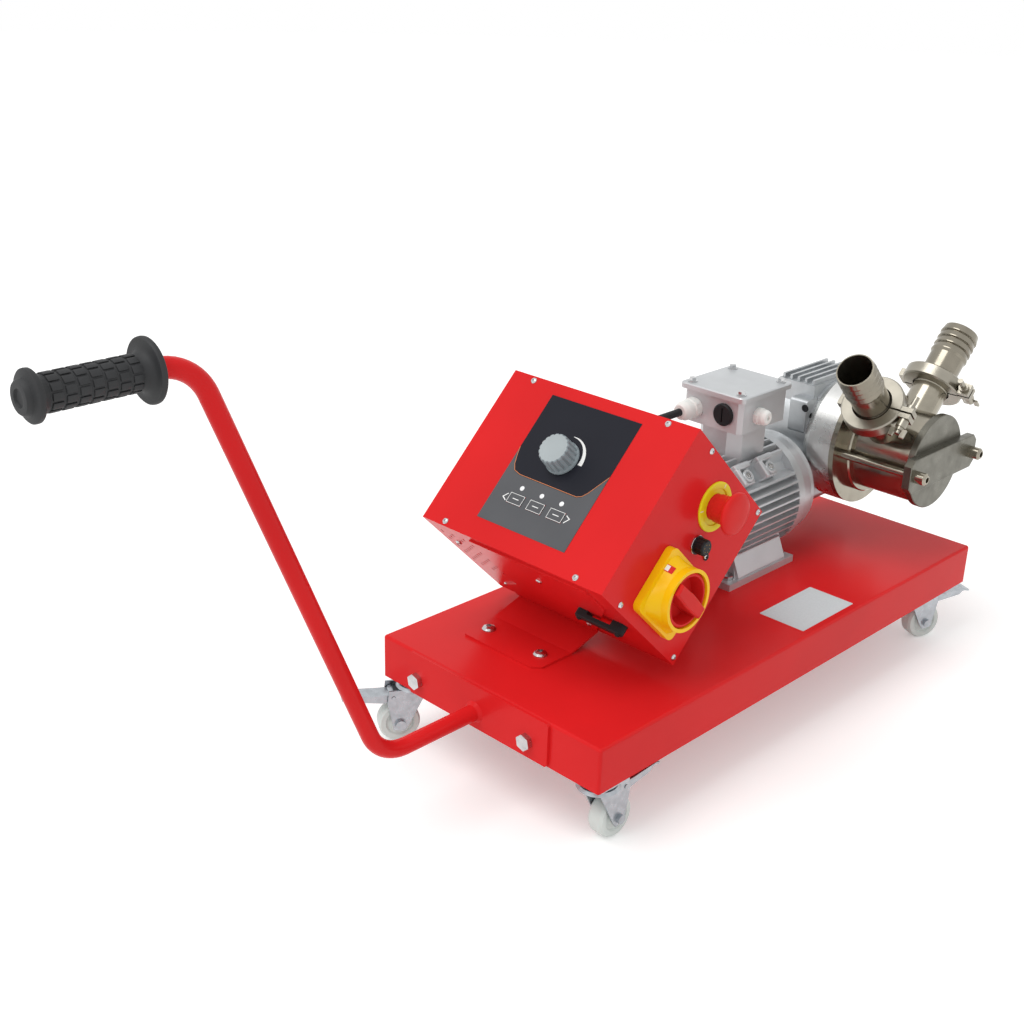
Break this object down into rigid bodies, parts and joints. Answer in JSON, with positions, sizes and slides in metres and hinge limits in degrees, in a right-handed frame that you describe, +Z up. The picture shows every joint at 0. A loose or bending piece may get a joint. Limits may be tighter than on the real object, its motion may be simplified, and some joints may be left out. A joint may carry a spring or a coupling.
{
  "type": "trolley-mounted rotary lobe pump",
  "caption": "Rotary lobe pump with worm-geared motor on a red wheeled deck, with a tilted control box, tow handle, two upward hose tails and braked swivel casters.",
  "frame": {"origin": "on the floor, under the middle of the deck", "axes": "+Z up, -Y towards the tow handle, +X towards the side that the pump head and the emergency stop face"},
  "size_m": [0.4149, 1.465, 0.6685],
  "materials": {
    "red_paint": "glossy red powder coat on sheet steel",
    "grip_rubber": "matt black rubber",
    "zinc": "bright zinc-plated steel",
    "panel_foil": "satin charcoal foil",
    "knob_grey": "satin grey plastic",
    "yellow_plastic": "glossy yellow plastic",
    "red_plastic": "glossy red plastic",
    "socket_metal": "nickel-plated metal with a black cap",
    "black_plastic": "matt black plastic",
    "white_plastic": "satin white plastic",
    "cable_sheath": "matt black cable sheath",
    "grey_paint": "silver-grey paint on cast aluminium",
    "cast_aluminium": "sand-cast aluminium",
    "turned_aluminium": "fine-turned aluminium",
    "dark_steel": "ground alloy steel",
    "bronze": "cast bronze rim on a steel hub",
    "stainless": "turned stainless steel",
    "cast_stainless": "investment-cast stainless steel",
    "seal_rubber": "black sealing rubber",
    "caster_zinc": "bright zinc-plated pressed steel",
    "wheel_nylon": "off-white nylon"
  },
  "bodies": {
    "trolley": {"deck_tray": "red_paint", "handle_plate": "red_paint", "handle_tube": "red_paint", "handle_grip": "grip_rubber", "hex_bolts": "zinc", "box_bracket": "red_paint", "enclosure_body": "red_paint", "enclosure_front": "red_paint", "enclosure_side": "red_paint", "button_screws": "zinc", "panel_overlay": "panel_foil", "estop_base": "yellow_plastic", "isolator_body": "yellow_plastic", "connector_socket": "socket_metal", "cord_bridge": "black_plastic", "cable_glands": "white_plastic", "blanking_plug": "black_plastic", "motor_cable": "cable_sheath", "terminal_box": "grey_paint", "terminal_lid": "grey_paint", "lid_screws": "zinc", "motor_housing": "grey_paint", "motor_shield": "grey_paint", "fan_cover": "grey_paint", "gearbox_case": "cast_aluminium", "adapter_housing": "turned_aluminium", "pump_casing": "stainless", "pump_cover": "stainless", "clamp_plate": "stainless", "tie_rods": "stainless", "hose_tails": "stainless", "port_clamps": "cast_stainless", "seals": "seal_rubber", "caster_plates": "caster_zinc"},
    "key_left": {"key_left": "panel_foil"},
    "key_stop": {"key_stop": "panel_foil"},
    "key_right": {"key_right": "panel_foil"},
    "speed_knob": {"speed_knob": "knob_grey"},
    "estop_button": {"estop_button": "red_plastic"},
    "isolator_knob": {"isolator_knob": "red_plastic"},
    "worm_line": {"worm_shaft": "dark_steel"},
    "wheel_line": {"worm_wheel": "bronze"},
    "drive_line": {"drive_rotor": "stainless", "drive_shaft": "dark_steel"},
    "driven_line": {"driven_rotor": "stainless", "driven_shaft": "dark_steel"},
    "wing_nut_front": {"wing_nut_front": "cast_stainless"},
    "wing_nut_rear": {"wing_nut_rear": "cast_stainless"},
    "fork_front_right": {"caster_fork_front_right": "caster_zinc"},
    "wheel_front_right": {"caster_wheel_front_right": "wheel_nylon"},
    "pedal_front_right": {"brake_pedal_front_right": "caster_zinc"},
    "fork_front_left": {"caster_fork_front_left": "caster_zinc"},
    "wheel_front_left": {"caster_wheel_front_left": "wheel_nylon"},
    "pedal_front_left": {"brake_pedal_front_left": "caster_zinc"},
    "fork_rear_right": {"caster_fork_rear_right": "caster_zinc"},
    "wheel_rear_right": {"caster_wheel_rear_right": "wheel_nylon"},
    "pedal_rear_right": {"brake_pedal_rear_right": "caster_zinc"},
    "fork_rear_left": {"caster_fork_rear_left": "caster_zinc"},
    "wheel_rear_left": {"caster_wheel_rear_left": "wheel_nylon"},
    "pedal_rear_left": {"brake_pedal_rear_left": "caster_zinc"}
  },
  "joints": [
    {"name": "key_left_press", "type": "slide", "parent": "trolley", "child": "key_left", "axis": [0, 0.7071, -0.7071], "range_m": [0, 0.0005], "stiffness_N_per_m": 400},
    {"name": "key_stop_press", "type": "slide", "parent": "trolley", "child": "key_stop", "axis": [0, 0.7071, -0.7071], "range_m": [0, 0.0005], "stiffness_N_per_m": 400},
    {"name": "key_right_press", "type": "slide", "parent": "trolley", "child": "key_right", "axis": [0, 0.7071, -0.7071], "range_m": [0, 0.0005], "stiffness_N_per_m": 400},
    {"name": "speed_turn", "type": "hinge", "parent": "trolley", "child": "speed_knob", "pos_m": [-0.017, -0.28113, 0.41087], "axis": [0, -0.7071, 0.7071], "range_deg": [-135, 135]},
    {"name": "estop_press", "type": "slide", "parent": "trolley", "child": "estop_button", "axis": [-1, 0, 0], "range_m": [0, 0.006]},
    {"name": "isolator_turn", "type": "hinge", "parent": "trolley", "child": "isolator_knob", "pos_m": [0.138, -0.25779, 0.27864], "axis": [-1, 0, 0], "range_deg": [0, 90]},
    {"name": "motor_spin", "type": "hinge", "parent": "trolley", "child": "worm_line", "pos_m": [-0.048, 0.075, 0.242], "axis": [0, 1, 0], "continuous": true},
    {"name": "wheel_spin", "type": "hinge", "parent": "trolley", "child": "wheel_line", "pos_m": [0, 0.33, 0.305], "axis": [1, 0, 0], "continuous": true},
    {"name": "drive_spin", "type": "hinge", "parent": "trolley", "child": "drive_line", "pos_m": [0, 0.33, 0.28], "axis": [1, 0, 0], "continuous": true},
    {"name": "driven_spin", "type": "hinge", "parent": "trolley", "child": "driven_line", "pos_m": [0, 0.33, 0.33], "axis": [1, 0, 0], "continuous": true},
    {"name": "wing_nut_front_turn", "type": "hinge", "parent": "trolley", "child": "wing_nut_front", "pos_m": [0.15, 0.24664, 0.39132], "axis": [0, -0.7193, -0.6947], "continuous": true},
    {"name": "wing_nut_rear_turn", "type": "hinge", "parent": "trolley", "child": "wing_nut_rear", "pos_m": [0.15, 0.41336, 0.39132], "axis": [0, 0.7193, -0.6947], "continuous": true},
    {"name": "swivel_front_right", "type": "hinge", "parent": "trolley", "child": "fork_front_right", "pos_m": [0.162, -0.393, 0.077], "axis": [0, 0, 1], "continuous": true},
    {"name": "roll_front_right", "type": "hinge", "parent": "fork_front_right", "child": "wheel_front_right", "pos_m": [0.162, -0.369, 0.028], "axis": [-1, 0, 0], "continuous": true},
    {"name": "brake_front_right", "type": "hinge", "parent": "fork_front_right", "child": "pedal_front_right", "pos_m": [0.162, -0.36, 0.069], "axis": [-1, 0, 0], "range_deg": [0, 15]},
    {"name": "swivel_front_left", "type": "hinge", "parent": "trolley", "child": "fork_front_left", "pos_m": [-0.162, -0.393, 0.077], "axis": [0, 0, 1], "continuous": true},
    {"name": "roll_front_left", "type": "hinge", "parent": "fork_front_left", "child": "wheel_front_left", "pos_m": [-0.174, -0.41379, 0.028], "axis": [0.866, -0.5, 0], "continuous": true},
    {"name": "brake_front_left", "type": "hinge", "parent": "fork_front_left", "child": "pedal_front_left", "pos_m": [-0.1785, -0.42158, 0.069], "axis": [0.866, -0.5, 0], "range_deg": [0, 15]},
    {"name": "swivel_rear_right", "type": "hinge", "parent": "trolley", "child": "fork_rear_right", "pos_m": [0.14, 0.357, 0.077], "axis": [0, 0, 1], "continuous": true},
    {"name": "roll_rear_right", "type": "hinge", "parent": "fork_rear_right", "child": "wheel_rear_right", "pos_m": [0.14976, 0.37893, 0.028], "axis": [-0.9135, 0.4067, 0], "continuous": true},
    {"name": "brake_rear_right", "type": "hinge", "parent": "fork_rear_right", "child": "pedal_rear_right", "pos_m": [0.15342, 0.38715, 0.069], "axis": [-0.9135, 0.4067, 0], "range_deg": [0, 15]},
    {"name": "swivel_rear_left", "type": "hinge", "parent": "trolley", "child": "fork_rear_left", "pos_m": [-0.14, 0.357, 0.077], "axis": [0, 0, 1], "continuous": true},
    {"name": "roll_rear_left", "type": "hinge", "parent": "fork_rear_left", "child": "wheel_rear_left", "pos_m": [-0.13379, 0.38018, 0.028], "axis": [-0.9659, 0.2588, 0], "continuous": true},
    {"name": "brake_rear_left", "type": "hinge", "parent": "fork_rear_left", "child": "pedal_rear_left", "pos_m": [-0.13146, 0.38888, 0.069], "axis": [-0.9659, 0.2588, 0], "range_deg": [0, 15]}
  ],
  "couplings": [
    {"joint": "wheel_spin", "follows": "motor_spin", "ratio": -0.033333},
    {"joint": "drive_spin", "follows": "motor_spin", "ratio": 0.014286},
    {"joint": "driven_spin", "follows": "motor_spin", "ratio": -0.014286}
  ]
}
